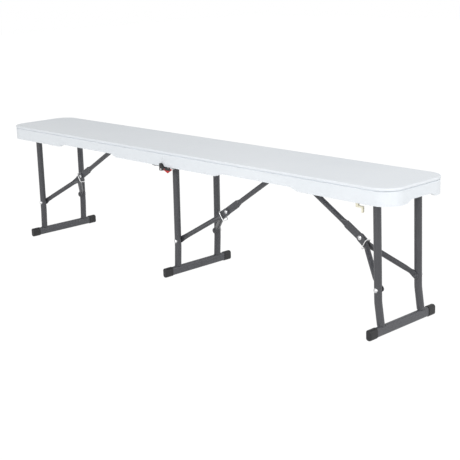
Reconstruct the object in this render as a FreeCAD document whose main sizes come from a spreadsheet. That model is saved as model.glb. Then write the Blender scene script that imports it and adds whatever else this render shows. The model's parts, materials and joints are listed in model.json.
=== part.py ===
import FreeCAD, Part
import Sketcher
import math
import os
from FreeCAD import Placement, Rotation, Vector

# Folding bench: a moulded seat in two halves that close underside to underside,
# carried by three folding leg frames, each with a jointed brace and a lock ring.
# Millimetres. X runs along the seat, Y across it (front is -Y), Z is up from the floor.
# X = 0 is the seam between the halves.

doc = FreeCAD.newDocument("folding_bench")
sheet = doc.addObject("Spreadsheet::Sheet", "Sizes")

SIZES = (
    ("seat_length", 1830.0, "both halves, end to end"),
    ("seat_width", 262.0, "across the rim"),
    ("seat_top", 421.0, "sitting height"),
    ("apron_depth", 49.5, "seat top down to the lowest edge"),
    ("panel_thick", 22.0, "moulded panel between the aprons"),
    ("apron_wall", 12.0, "double wall of the side and end aprons"),
    ("seam_wall", 3.6, "wall of each half at the seam"),
    ("seam_gap", 0.8, "daylight between the two halves"),
    ("corner_radius", 57.0, "outer corners in plan"),
    ("cavity_corner", 44.0, "inner corners in plan"),
    ("rim_height", 7.2, "bright rounded strip round the top"),
    ("rim_round", 3.0, "rounding of that strip"),
    ("groove_height", 2.0, "shadow line under the strip"),
    ("groove_depth", 4.0, "how far the shadow line is cut in"),
    ("groove_round", 1.28, "rounding of the strip's lower edge"),
    ("apron_inset", 0.8, "apron face behind the strip"),
    ("apron_round", 3.0, "rounding of the apron's top edge, under the shadow line"),
    ("cutout_depth", 9.6, "foot notch cut up into the apron edge"),
    ("cutout_near", 250.0, "notch start, from the seam"),
    ("cutout_far", 590.0, "notch end, from the seam"),
    ("cutout_ramp", 26.0, "length of the notch's sloping ends"),
    ("cutout_round", 12.0, "rounding of those slopes"),
    ("end_notch_half", 43.0, "half width of the hand notch in the end apron"),
    ("end_notch_ramp", 21.0, "length of its sloping ends"),
    ("end_notch_shift", 7.0, "how far that notch is off the centre line"),
    ("channel_half", 34.0, "half width of the brace channel under the panel"),
    ("channel_depth", 12.0, "how far that channel is sunk"),
    ("channel_start", 60.0, "channel end nearest the seam"),
    ("channel_margin", 100.0, "channel end, from the seat's end"),
    ("tack_radius", 9.0, "moulded tack-off dimples in the underside"),
    ("tack_depth", 9.0, "depth of the dimples"),
    ("tack_pitch", 150.0, "spacing of the dimples along the seat"),
    ("tack_first", 110.0, "first dimple, from the seam"),
    ("tack_row", 62.0, "dimple rows, from the centre line"),
    ("leaf_thick", 2.5, "hinge leaf sheet"),
    ("leaf_length", 58.0, "hinge leaf along the seat"),
    ("leaf_margin", 3.0, "hinge leaf's outer edge inside the rim"),
    ("leaf_width", 25.0, "hinge leaf across the seat"),
    ("leaf_screw_margin", 7.5, "leaf screws inside the rim"),
    ("leaf_screw_near", 20.0, "first leaf screw, from the seam"),
    ("leaf_screw_far", 46.0, "second leaf screw, from the seam"),
    ("knuckle_radius", 5.7, "hinge knuckle"),
    ("knuckle_gap", 0.3, "knuckle below the leaves, and between knuckles"),
    ("hinge_pin_radius", 3.0, "seat hinge pin"),
    ("pin_clearance", 0.06, "radial running clearance on every pin"),
    ("pivot_rise", 12.0, "leg pivot above the seat's lowest edge"),
    ("bar_radius", 8.0, "cross bar at the top of each leg frame"),
    ("bar_wall", 1.6, "wall of the cross bar"),
    ("bar_past", 4.0, "cross bar past its brackets"),
    ("leg_radius", 11.0, "upright tube"),
    ("leg_wall", 1.4, "wall of the upright tube"),
    ("kick_height", 80.0, "height over which the uprights kick outward"),
    ("kick_bend", 120.0, "bend radius at the kick"),
    ("foot_tall", 28.0, "foot tube, height"),
    ("foot_thick", 15.2, "foot tube, thickness"),
    ("foot_round", 6.0, "foot tube, corner rounding"),
    ("foot_wall", 1.4, "foot tube, wall"),
    ("foot_past", 10.0, "foot tube past the seat's rim"),
    ("cap_wall", 1.5, "foot cap, wall"),
    ("cap_length", 30.0, "foot cap, length"),
    ("cap_end", 5.8, "foot cap, thickness of the closed end"),
    ("cap_round", 2.9, "foot cap, rounding of the closed end"),
    ("foot_fold_drop", 0.5, "folded foot's centre below the seat's lowest edge"),
    ("ear_thick", 2.5, "bracket sheet"),
    ("ear_gap", 2.5, "leg bracket ear from its upright"),
    ("ear_radius", 11.4, "rounded lower end of the ear"),
    ("flange_width", 10.5, "leg bracket flange"),
    ("flange_back", 11.0, "flange behind the pivot"),
    ("flange_front", 45.0, "flange ahead of the pivot"),
    ("flange_screw_near", 19.0, "first flange screw ahead of the pivot"),
    ("flange_screw_far", 37.0, "second flange screw ahead of the pivot"),
    ("screw_radius", 2.5, "screw shank"),
    ("screw_head", 4.2, "screw head radius"),
    ("screw_flat", 3.0, "flat face of a screw head"),
    ("leaf_round", 4.2, "corner rounding of the hinge leaves"),
    ("screw_rise", 2.6, "screw head height"),
    ("brace_radius", 8.0, "brace tube"),
    ("flat_half", 12.0, "half width of the flattened tube ends"),
    ("flat_thick", 3.4, "thickness of the flattened link ends"),
    ("arm_thick", 3.0, "thickness of the flattened arm ends"),
    ("taper_length", 22.0, "from flattened end to round tube"),
    ("knee_press", 16.0, "the same on the link, at the knee"),
    ("taper_start", 2.0, "how far that taper starts inside the flattened end"),
    ("taper_skin", 0.1, "and how far inside its faces"),
    ("link_flat", 30.0, "flattened length of the link at its anchor"),
    ("link_blade", 62.0, "flattened length of the link before the knee"),
    ("arm_end_half", 9.0, "half width of the arms at their uprights"),
    ("arm_flat", 17.0, "flattened length of the arms at their uprights"),
    ("knee_flat", 28.0, "flattened length of the arms at the knee, where the ring sits"),
    ("knee_tail", 28.0, "link tail past the knee rivet"),
    ("tail_round", 3.6, "corner rounding of that tail"),
    ("knee_layer", 0.15, "free play between link and arms"),
    ("rivet_radius", 4.0, "knee and arm rivets"),
    ("rivet_head", 6.5, "rivet head radius"),
    ("rivet_rise", 2.8, "rivet head height"),
    ("rivet_flat", 0.45, "share of a head left flat on its dome"),
    ("rivet_edge", 0.3, "share of a head's height that is its straight edge"),
    ("button_slope", 35.0, "slope of the arms' inner heads"),
    ("arm_layer", 1.0, "free space between arm end and upright"),
    ("brace_pin_rise", 10.0, "brace anchor pin above the leg pivot"),
    ("brace_pin_radius", 3.5, "brace anchor pin"),
    ("brace_pin_head", 5.95, "brace anchor pin's head radius"),
    ("brace_pin_rim", 1.4, "brace anchor pin's head height"),
    ("anchor_ear", 8.4, "radius of the ears round the anchor pins"),
    ("knee_fold_drop", 2.0, "folded knee below the anchor pin"),
    ("anchor_layer", 0.4, "free play between link and anchor ears"),
    ("anchor_half", 24.0, "half width of the anchor's screw flange"),
    ("anchor_reach", 14.0, "anchor plate past its outermost pin"),
    ("anchor_screw", 16.0, "anchor screws, from the centre line"),
    ("ring_wire", 1.5, "lock ring wire radius"),
    ("ring_inner_half", 9.2, "lock ring inside, across the brace"),
    ("ring_inner_tall", 32.0, "lock ring inside, along its height"),
    ("ring_round", 6.0, "bend radius of the ring's corners"),
    ("ring_seat_gap", 0.3, "ring above the brace edge it hangs on"),
    ("clip_before", 54.5, "leg clip, from the right leg's pivot"),
    ("clip_y", 110.0, "leg clip, from the centre line"),
    ("clip_thick", 6.0, "leg clip, thickness"),
    ("clip_length", 25.0, "leg clip, length along the seat"),
    ("clip_stem", 8.6, "leg clip, width of its stem"),
    ("clip_wall", 5.0, "leg clip, width of bar and toe"),
    ("clip_round", 1.9, "leg clip, rounding of its corners"),
    ("clip_reach", 29.5, "leg clip's toe below the seat's lowest edge"),
    ("clip_bar", 16.5, "underside of the clip's bar below that edge"),
    ("lock_front", 7.0, "lock housing, front to back"),
    ("lock_rise", 19.0, "lock knob's top above the hinge axis"),
    ("lock_left", 7.5, "lock knob's reach past the seam"),
    ("lock_crown", 1.5, "far end of the knob's top, from the seam"),
    ("lock_low", 4.4, "lock knob below the hinge axis"),
    ("lock_chin", 4.0, "far end of the knob's underside, from the seam"),
    ("lock_waist", 10.0, "where the knob passes into the bar, from the seam"),
    ("lock_bar", 7.0, "lock bar's top above the hinge axis, at the knob"),
    ("lock_tip", 5.0, "lock bar's top above the hinge axis, at its end"),
    ("lock_reach", 46.0, "lock bar's end, from the seam"),
    ("lock_under", 0.5, "lock bar's underside below the hinge axis"),
    ("lock_round", 1.6, "corner rounding of the housing"),
    ("lever_thick", 3.0, "red lever, thickness"),
    ("lever_reach", 36.0, "red lever, length"),
    ("lever_drop", 12.0, "red lever, depth of its point"),
    ("lever_point", 13.7, "red lever, its point from the pivot"),
    ("lever_top", 2.6, "red lever, its upper edge above the pivot"),
    ("lever_tail", 4.6, "red lever, its end behind the pivot"),
    ("lever_heel", 3.9, "red lever, depth of that end"),
    ("lever_round", 1.2, "corner rounding of the lever"),
    ("lever_pin", 1.8, "red lever's pivot pin radius"),
    ("lever_x", 17.0, "red lever's pivot, from the seam"),
    ("lever_rise", 2.2, "red lever's pivot above the hinge axis"),
    ("lever_back", 6.5, "slot behind the lever's pivot"),
    ("lock_gap", 0.3, "lock housing in front of the rim"),
    ("left_end", 133.5, "left leg pivot, from the seat's end"),
    ("left_side", 39.0, "left uprights, centre to the rim"),
    ("left_anchor", 379.0, "left brace's anchor, from the seam"),
    ("left_splay", 7.5, "left foot behind its pivot, straight lean"),
    ("left_kick", 4.0, "left foot, further out by the kick"),
    ("left_rivet", 127.6, "left arm rivets above the floor"),
    ("left_break", 14.0, "left knee above the line through its brace's ends"),
    ("left_ring", 4.0, "left lock ring past the knee rivet"),
    ("middle_pivot", 16.5, "middle leg pivot, from the seam"),
    ("middle_side", 42.5, "middle uprights, centre to the rim"),
    ("middle_anchor", 416.2, "middle brace's anchor, from the seam"),
    ("middle_splay", 8.9, "middle foot behind its pivot, straight lean"),
    ("middle_kick", 4.0, "middle foot, further out by the kick"),
    ("middle_rivet", 116.4, "middle arm rivets above the floor"),
    ("middle_break", 3.5, "middle knee above the line through its brace's ends"),
    ("middle_ring", 23.0, "middle lock ring past the knee rivet"),
    ("right_end", 73.5, "right leg pivot, from the seat's end"),
    ("right_side", 41.0, "right uprights, centre to the rim"),
    ("anchor_spacing", 31.5, "right brace's anchor past the middle one's"),
    ("right_splay", 7.5, "right foot behind its pivot, straight lean"),
    ("right_kick", 10.5, "right foot, further out by the kick"),
    ("right_rivet", 129.4, "right arm rivets above the floor"),
    ("right_break", 12.0, "right knee above the line through its brace's ends"),
    ("right_ring", 24.0, "right lock ring past the knee rivet"),
)

for row, (alias, value, note) in enumerate(SIZES, start=1):
    sheet.set("A%d" % row, note)
    sheet.set("B%d" % row, str(value))
    sheet.setAlias("B%d" % row, alias)
doc.recompute()

# Derived lengths, written as expressions of the sheet's cells.
HALF_WIDTH = "(Sizes.seat_width / 2)"
HALF_LENGTH = "(Sizes.seat_length / 2)"
SEAM = "(Sizes.seam_gap / 2)"
SEAT_EDGE = "(Sizes.seat_top - Sizes.apron_depth)"
PANEL_UNDER = "(Sizes.seat_top - Sizes.panel_thick)"
CHANNEL_ROOF = "(Sizes.seat_top - Sizes.panel_thick + Sizes.channel_depth)"
LEAF_UNDER = "(Sizes.seat_top - Sizes.apron_depth - Sizes.leaf_thick)"
HINGE_Z = "(%s - Sizes.knuckle_gap - Sizes.knuckle_radius)" % LEAF_UNDER
PIVOT_Z = "(%s + Sizes.pivot_rise)" % SEAT_EDGE
ANCHOR_Z = "(%s + Sizes.brace_pin_rise)" % PIVOT_Z
FOOT_Z = "(Sizes.foot_tall / 2 + Sizes.cap_wall)"
LEG_LENGTH = "(%s - %s)" % (PIVOT_Z, FOOT_Z)
FOOT_HALF = "(%s + Sizes.foot_past)" % HALF_WIDTH
CHANNEL_END = "(%s - Sizes.channel_margin)" % HALF_LENGTH
LEAF_OUTER = "(%s - Sizes.leaf_margin)" % HALF_WIDTH
LEAF_INNER = "(%s - Sizes.leaf_width)" % LEAF_OUTER
LEAF_ROW = "(%s - Sizes.leaf_screw_margin)" % HALF_WIDTH
LEFT_PIVOT = "-(%s - Sizes.left_end)" % HALF_LENGTH
MIDDLE_PIVOT = "Sizes.middle_pivot"
RIGHT_PIVOT = "(%s - Sizes.right_end)" % HALF_LENGTH

NODES = []
NEAR = 0.01
HALVINGS = 60


def num(expression):
    """The value of an expression of the sheet's cells."""
    return float(sheet.evalExpression(expression))


def keep(thing, name):
    """Give a finished sub-part its name and list it for export."""
    thing.Label = name
    NODES.append(thing)
    return thing


def new_body(name):
    return doc.addObject("PartDesign::Body", name)


def sketch(body, role, offset="0"):
    """A sketch on one of the body's origin planes, moved along its normal."""
    thing = body.newObject("Sketcher::SketchObject", "sketch")
    for plane in body.Origin.OriginFeatures:
        if plane.Role == role:
            thing.AttachmentSupport = [(plane, "")]
    thing.MapMode = "FlatFace"
    if offset != "0":
        thing.setExpression("AttachmentOffset.Base.z", offset)
    return thing


def pin_point(thing, shape, end, place):
    """Tie a point of a sketch to a pair of expressions."""
    for kind, axis, text in (("DistanceX", -2, place[0]), ("DistanceY", -1, place[1])):
        if text == "0":
            thing.addConstraint(Sketcher.Constraint("PointOnObject", shape, end, axis))
            continue
        thing.addConstraint(Sketcher.Constraint(kind, -1, 1, shape, end, num(text)))
        thing.setExpression("Constraints[%d]" % (thing.ConstraintCount - 1), text)


def polygon(thing, corners):
    """A closed outline whose corners are pairs of expressions."""
    spots = [Vector(num(a), num(b), 0) for a, b in corners]
    first = thing.GeometryCount
    count = len(corners)
    for i in range(count):
        thing.addGeometry(Part.LineSegment(spots[i], spots[(i + 1) % count]), False)
    for i in range(count):
        after = first + (i + 1) % count
        thing.addConstraint(Sketcher.Constraint("Coincident", first + i, 2, after, 1))
    for i, corner in enumerate(corners):
        pin_point(thing, first + i, 1, corner)


def box_outline(thing, low_x, low_y, high_x, high_y):
    polygon(thing, [(low_x, low_y), (high_x, low_y), (high_x, high_y), (low_x, high_y)])


def circle(thing, centre, radius):
    """A circle tied to its centre and radius expressions."""
    spot = Vector(num(centre[0]), num(centre[1]), 0)
    index = thing.addGeometry(Part.Circle(spot, Vector(0, 0, 1), num(radius)), False)
    pin_point(thing, index, 3, centre)
    thing.addConstraint(Sketcher.Constraint("Radius", index, num(radius)))
    thing.setExpression("Constraints[%d]" % (thing.ConstraintCount - 1), radius)


def feature(body, kind, profile, length=None, both=False, back=False):
    """A Pad or Pocket; both is symmetric about the sketch, back reverses it."""
    thing = body.newObject("PartDesign::" + kind, kind.lower())
    thing.Profile = profile
    if length is None:
        thing.Type = "ThroughAll"
        thing.SideType = "Symmetric" if both else "One side"
    else:
        thing.SideType = "Symmetric" if both else "One side"
        thing.setExpression("Length", length)
    thing.Reversed = back
    doc.recompute()
    return thing


def pick_edges(shape, test):
    return ["Edge%d" % (i + 1) for i, edge in enumerate(shape.Edges) if test(edge)]


def fillet(body, test, radius):
    """Round the edges of the body's last feature that pass the test."""
    base = body.Tip
    names = pick_edges(base.Shape, test)
    thing = body.newObject("PartDesign::Fillet", "fillet")
    thing.Base = (base, names)
    thing.setExpression("Radius", radius)
    doc.recompute()
    return thing


def runs_along(edge, axis):
    """True for a straight edge along the axis."""
    if edge.Curve.TypeId != "Part::GeomLine":
        return False
    return abs(abs(edge.Curve.Direction.dot(axis)) - 1) < 1e-6


def middle_of(edge):
    return edge.BoundBox.Center


def place(thing, x="0", y="0", z="0", turn=0.0):
    """Stand a sub-part in the bench, turned about the upright axis."""
    thing.Placement = Placement(Vector(), Rotation(Vector(0, 0, 1), turn))
    for axis, text in zip("xyz", (x, y, z)):
        if text != "0":
            thing.setExpression("Placement.Base." + axis, text)


X_AXIS = Vector(1, 0, 0)
Y_AXIS = Vector(0, 1, 0)
Z_AXIS = Vector(0, 0, 1)


def seat_half(name, turn):
    """One moulded half: rim strip, shadow groove, aprons, notches, channel and dimples."""
    body = new_body(name)

    def layer(inset, low, height):
        """One level of the outline, set in from the rim by the inset."""
        plan = sketch(body, "XY_Plane", low)
        box_outline(plan, SEAM, "-(%s - %s)" % (HALF_WIDTH, inset),
                    "%s - %s" % (HALF_LENGTH, inset), "%s - %s" % (HALF_WIDTH, inset))
        feature(body, "Pad", plan, height)

    groove_top = "(Sizes.seat_top - Sizes.rim_height)"
    groove_low = "(%s - Sizes.groove_height)" % groove_top
    layer("0", groove_top, "Sizes.rim_height")
    layer("Sizes.groove_depth", groove_low, "Sizes.groove_height")
    layer("Sizes.apron_inset", SEAT_EDGE, "%s - %s" % (groove_low, SEAT_EDGE))

    outer = num(HALF_LENGTH) - num("Sizes.groove_depth") - 0.5
    fillet(body, lambda e: runs_along(e, Z_AXIS) and middle_of(e).x > outer, "Sizes.corner_radius")

    def on_outline(edge, level, inset):
        """True for an edge at a level, on the outline set in by the inset; the seam is left out."""
        if abs(edge.BoundBox.ZMin - level) > NEAR or abs(edge.BoundBox.ZMax - level) > NEAR:
            return False
        spot = edge.valueAt((edge.FirstParameter + edge.LastParameter) / 2)
        bend = num("Sizes.corner_radius")
        beyond = Vector(max(spot.x - num(HALF_LENGTH) + inset + bend, 0),
                        max(abs(spot.y) - num(HALF_WIDTH) + inset + bend, 0))
        return abs(beyond.Length - bend) < 0.2 and edge.BoundBox.XMax > num(SEAM) + NEAR

    for level, inset, radius in (("Sizes.seat_top", "0", "Sizes.rim_round"),
                                 (groove_top, "0", "Sizes.groove_round"),
                                 (groove_low, "Sizes.apron_inset", "Sizes.apron_round")):
        fillet(body, lambda e: on_outline(e, num(level), num(inset)), radius)

    cavity = sketch(body, "XY_Plane", SEAT_EDGE)
    wide = num("%s - Sizes.apron_wall" % HALF_WIDTH)
    near = num("%s + Sizes.seam_wall" % SEAM)
    far = num("%s - Sizes.apron_wall" % HALF_LENGTH)
    bend = num("Sizes.cavity_corner")
    cut = bend * (1 - math.sqrt(0.5))
    spots = [Vector(*spot) for spot in (
        (near, -wide), (far - bend, -wide), (far, bend - wide), (far, wide - bend),
        (far - bend, wide), (near, wide))]
    for start, end in ((0, 1), (2, 3), (4, 5), (5, 0)):
        cavity.addGeometry(Part.LineSegment(spots[start], spots[end]), False)
    for start, end, side in ((1, 2, -1), (3, 4, 1)):
        crown = Vector(far - cut, side * (wide - cut))
        cavity.addGeometry(Part.Arc(spots[start], crown, spots[end]), False)
    feature(body, "Pocket", cavity, "%s - %s" % (PANEL_UNDER, SEAT_EDGE), back=True)

    channel = sketch(body, "XY_Plane", PANEL_UNDER)
    box_outline(channel, "Sizes.channel_start", "-Sizes.channel_half", CHANNEL_END, "Sizes.channel_half")
    feature(body, "Pocket", channel, "Sizes.channel_depth", back=True)

    notch = sketch(body, "XZ_Plane")
    notch_top = "%s + Sizes.cutout_depth" % SEAT_EDGE
    below = "%s - Sizes.cutout_depth" % SEAT_EDGE
    polygon(notch, [("Sizes.cutout_near", SEAT_EDGE),
                    ("Sizes.cutout_near + Sizes.cutout_ramp", notch_top),
                    ("Sizes.cutout_far - Sizes.cutout_ramp", notch_top),
                    ("Sizes.cutout_far", SEAT_EDGE),
                    ("Sizes.cutout_far", below), ("Sizes.cutout_near", below)])
    feature(body, "Pocket", notch, both=True)

    hand = sketch(body, "YZ_Plane", HALF_LENGTH)
    wide_end = "(Sizes.end_notch_half + Sizes.end_notch_ramp)"
    off = "Sizes.end_notch_shift"
    polygon(hand, [("%s - %s" % (off, wide_end), SEAT_EDGE),
                   ("%s - Sizes.end_notch_half" % off, notch_top),
                   ("%s + Sizes.end_notch_half" % off, notch_top), ("%s + %s" % (off, wide_end), SEAT_EDGE),
                   ("%s + %s" % (off, wide_end), below), ("%s - %s" % (off, wide_end), below)])
    feature(body, "Pocket", hand, "Sizes.apron_wall * 2")

    ramps = [num("Sizes.cutout_near"), num("Sizes.cutout_near + Sizes.cutout_ramp"),
             num("Sizes.cutout_far"), num("Sizes.cutout_far - Sizes.cutout_ramp")]
    fillet(body, lambda e: runs_along(e, Y_AXIS)
           and min(abs(middle_of(e).x - spot) for spot in ramps) < NEAR
           and middle_of(e).z < num(notch_top) + NEAR, "Sizes.cutout_round")

    dimple = sketch(body, "XY_Plane", PANEL_UNDER)
    count = int((num(CHANNEL_END) - num("Sizes.tack_first")) // num("Sizes.tack_pitch")) + 1
    for i in range(count):
        for side in ("", "-"):
            circle(dimple, ("Sizes.tack_first + %d * Sizes.tack_pitch" % i, side + "Sizes.tack_row"),
                   "Sizes.tack_radius")
    feature(body, "Pocket", dimple, "Sizes.tack_depth", back=True)

    place(body, turn=turn)
    return keep(body, name)


def mirrored(side, text):
    """The expression as it stands for the back, or negated for the front."""
    return text if side > 0 else "-(%s)" % text


def across(side, text):
    """Offset of an XZ sketch that puts it at the given distance from the centre line."""
    return mirrored(-side, text)


def hinge_leaf(name, side, knuckles, bore_gap, turn):
    """A screwed leaf under the apron with its share of the three knuckles."""
    body = new_body(name)
    plate = sketch(body, "XY_Plane", LEAF_UNDER)
    box_outline(plate, SEAM, mirrored(side, LEAF_INNER), "Sizes.leaf_length", mirrored(side, LEAF_OUTER))
    feature(body, "Pad", plate, "Sizes.leaf_thick")
    share = "(Sizes.leaf_width / 3)"
    for index in knuckles:
        centre = across(side, "%s + %s * %s" % (LEAF_INNER, index + 0.5, share))
        barrel = sketch(body, "XZ_Plane", centre)
        circle(barrel, ("0", HINGE_Z), "Sizes.knuckle_radius")
        feature(body, "Pad", barrel, "%s - Sizes.knuckle_gap" % share, both=True)
        web = sketch(body, "XZ_Plane", centre)
        box_outline(web, "0", HINGE_Z, "Sizes.knuckle_radius", "%s + Sizes.leaf_thick / 2" % LEAF_UNDER)
        feature(body, "Pad", web, "%s - Sizes.knuckle_gap" % share, both=True)
    bore = sketch(body, "XZ_Plane")
    circle(bore, ("0", HINGE_Z), "Sizes.hinge_pin_radius + %s" % bore_gap)
    feature(body, "Pocket", bore, both=True)
    holes = sketch(body, "XY_Plane", LEAF_UNDER)
    for spot in ("Sizes.leaf_screw_near", "Sizes.leaf_screw_far"):
        circle(holes, (spot, mirrored(side, LEAF_ROW)), "Sizes.screw_radius")
    feature(body, "Pocket", holes, "Sizes.leaf_thick", back=True)
    end = num("Sizes.leaf_length")
    fillet(body, lambda e: runs_along(e, Z_AXIS) and abs(middle_of(e).x - end) < NEAR, "Sizes.leaf_round")
    place(body, turn=turn)
    return keep(body, name)


def round_bar(name, radius, low, high, x, z):
    """A plain round pin along Y between two distances."""
    pin = doc.addObject("Part::Cylinder", "pin")
    pin.setExpression("Radius", radius)
    pin.setExpression("Height", "%s - (%s)" % (high, low))
    pin.Placement = Placement(Vector(), Rotation(Vector(1, 0, 0), -90))
    for axis, text in zip("xyz", (x, low, z)):
        pin.setExpression("Placement.Base." + axis, text)
    return keep(pin, name)


def headed_pin(name, radius, half, head, rise, x="0", z="0"):
    """A pin along Y with a domed head on each end of its grip."""
    body = new_body(name)
    profile = sketch(body, "XY_Plane")
    grip, tip = num(half), num(half) + num(rise)
    thin, wide = num(radius), num(head)
    flat = wide * num("Sizes.rivet_flat")
    edge = grip + num(rise) * num("Sizes.rivet_edge")
    outline = [(0, tip), (flat, tip), (wide, edge), (wide, grip), (thin, grip)]
    points = [Vector(x, -y, 0) for x, y in outline] + [Vector(x, y, 0) for x, y in reversed(outline)]
    for i, start in enumerate(points):
        profile.addGeometry(Part.LineSegment(start, points[(i + 1) % len(points)]), False)
    spin = body.newObject("PartDesign::Revolution", "revolution")
    spin.Profile = profile
    spin.ReferenceAxis = (profile, ["V_Axis"])
    spin.Angle = 360
    doc.recompute()
    place(body, x=x, z=z)
    return keep(body, name)


def angle(start, end):
    """The direction from one spot to another, up from X."""
    return math.atan2(end[1] - start[1], end[0] - start[0])


class Brace:
    """Places of one folding leg's pivots, in its own frame: X towards its brace, Z up.

    The frame's origin is the leg pivot, so the leg hangs down from it at rest."""

    def __init__(self, leg, pivot, anchor, turn):
        self.leg = leg
        self.pivot = pivot
        self.turn = turn
        self.spacing = "(%s - Sizes.%s_side)" % (HALF_WIDTH, leg)
        self.ear = "(%s + Sizes.leg_radius + Sizes.ear_gap)" % self.spacing
        self.splay, self.kick, self.rise = (
            num("Sizes.%s_%s" % (leg, item)) for item in ("splay", "kick", "break"))
        length = num(LEG_LENGTH)
        depth = num("%s - Sizes.%s_rivet" % (PIVOT_Z, leg))
        self.eye = (-self.splay * depth / length, -depth)
        reach = math.hypot(*self.eye)
        fold_z = num("Sizes.pivot_rise + Sizes.foot_fold_drop")
        self.slope = math.asin((fold_z - self.kick) / length)
        self.folded_eye = (reach * math.cos(self.slope), -reach * math.sin(self.slope))
        rise = num("Sizes.brace_pin_rise")
        self.anchor = (abs(num(anchor) - num(pivot)), rise)
        self.knee_z = rise - num("Sizes.knee_fold_drop")
        self.link = self.settle_link()
        knee_x, self.arm, _ = self.closure(self.link)
        self.knee = self.rest_knee()
        self.link_angle = angle(self.anchor, self.knee)
        self.arm_angle = angle(self.knee, self.eye)
        folded_knee = (knee_x, self.knee_z)
        turn_of_link = (self.link_angle - angle(self.anchor, folded_knee)) % (2 * math.pi)
        self.leg_turn = math.pi / 2 - self.slope + math.atan2(self.splay, length)
        self.link_turn = turn_of_link
        self.arm_turn = (angle(folded_knee, self.folded_eye) - self.arm_angle) % (2 * math.pi) + turn_of_link

    def closure(self, link):
        """Folded knee, arm length, and how much the rest chord exceeds link and arm."""
        anchor_x, anchor_z = self.anchor
        knee_x = anchor_x - math.sqrt(link ** 2 - (anchor_z - self.knee_z) ** 2)
        arm = math.hypot(self.folded_eye[0] - knee_x, self.folded_eye[1] - self.knee_z)
        chord = math.hypot(self.eye[0] - anchor_x, self.eye[1] - anchor_z)
        reach = math.sqrt(link ** 2 - self.rise ** 2) + math.sqrt(arm ** 2 - self.rise ** 2)
        return knee_x, arm, chord - reach

    def settle_link(self):
        """The link length with which the brace both stands and folds flat, by halving."""
        low, high = self.anchor[0] / 2, self.anchor[0]
        for _ in range(HALVINGS):
            link = (low + high) / 2
            if self.closure(link)[2] > 0:
                low = link
            else:
                high = link
        return link

    def rest_knee(self):
        """The knee at rest, its rise above the line from anchor to arm rivets."""
        run = self.eye[0] - self.anchor[0]
        fall = self.eye[1] - self.anchor[1]
        chord = math.hypot(run, fall)
        along = math.sqrt(self.link ** 2 - self.rise ** 2)
        return (self.anchor[0] + (run * along + fall * self.rise) / chord,
                self.anchor[1] + (fall * along - run * self.rise) / chord)

    def stand(self, thing, x="0", z="0"):
        """Place a piece drawn in the leg's frame."""
        sign = "-" if self.turn else ""
        place(thing, "%s + %s(%s)" % (self.pivot, sign, x), "0", "%s + %s" % (PIVOT_Z, z), self.turn)

    def swing(self, thing, spot, angle):
        """Place a piece drawn along X at a spot of the frame, turned up by an angle."""
        turn = Rotation(Vector(0, 0, 1), self.turn)
        tilt = Rotation(Vector(0, 1, 0), -math.degrees(angle))
        base = Vector(num(self.pivot), 0, num(PIVOT_Z)) + turn.multVec(Vector(spot[0], 0, spot[1]))
        thing.Placement = Placement(base, turn.multiply(tilt))

    def size(self, item):
        return "Sizes.%s_%s" % (self.leg, item)

    def world(self, spot):
        """A spot of the frame in the bench's own X and Z."""
        sign = -1 if self.turn else 1
        return (num(self.pivot) + sign * spot[0], num(PIVOT_Z) + spot[1])


def leg_name(brace, piece):
    return "%s_leg_%s" % (brace.leg, piece)


def cross_bar(brace):
    """The tube through the tops of both uprights, which turns in the leg brackets."""
    body = new_body("cross_bar")
    section = sketch(body, "XZ_Plane")
    circle(section, ("0", "0"), "Sizes.bar_radius")
    circle(section, ("0", "0"), "Sizes.bar_radius - Sizes.bar_wall")
    feature(body, "Pad", section, "(%s + Sizes.ear_thick + Sizes.bar_past) * 2" % brace.ear, both=True)
    brace.stand(body)
    keep(body, leg_name(brace, "cross_bar"))


def upright_spine(brace):
    """Top, kick and foot of an upright's centre line."""
    length = num(LEG_LENGTH)
    kick_depth = length - num("Sizes.kick_height")
    top = num("Sizes.leg_radius")
    lean = brace.splay / length
    return [Vector(lean * top, top, 0), Vector(-lean * kick_depth, -kick_depth, 0),
            Vector(-brace.splay - brace.kick, -length, 0)]


def bent_line(thing, points, radius):
    """Two straight runs joined by a tangent arc."""
    start, corner, end = points
    first = (start - corner).normalize()
    second = (end - corner).normalize()
    half = first.getAngle(second) / 2
    run = radius / math.tan(half)
    bisector = (first + second).normalize()
    a, b = corner + first * run, corner + second * run
    centre = corner + bisector * (radius / math.sin(half))
    crown = centre - bisector * radius
    for piece in (Part.LineSegment(start, a), Part.Arc(a, crown, b), Part.LineSegment(b, end)):
        thing.addGeometry(piece, False)


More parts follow.
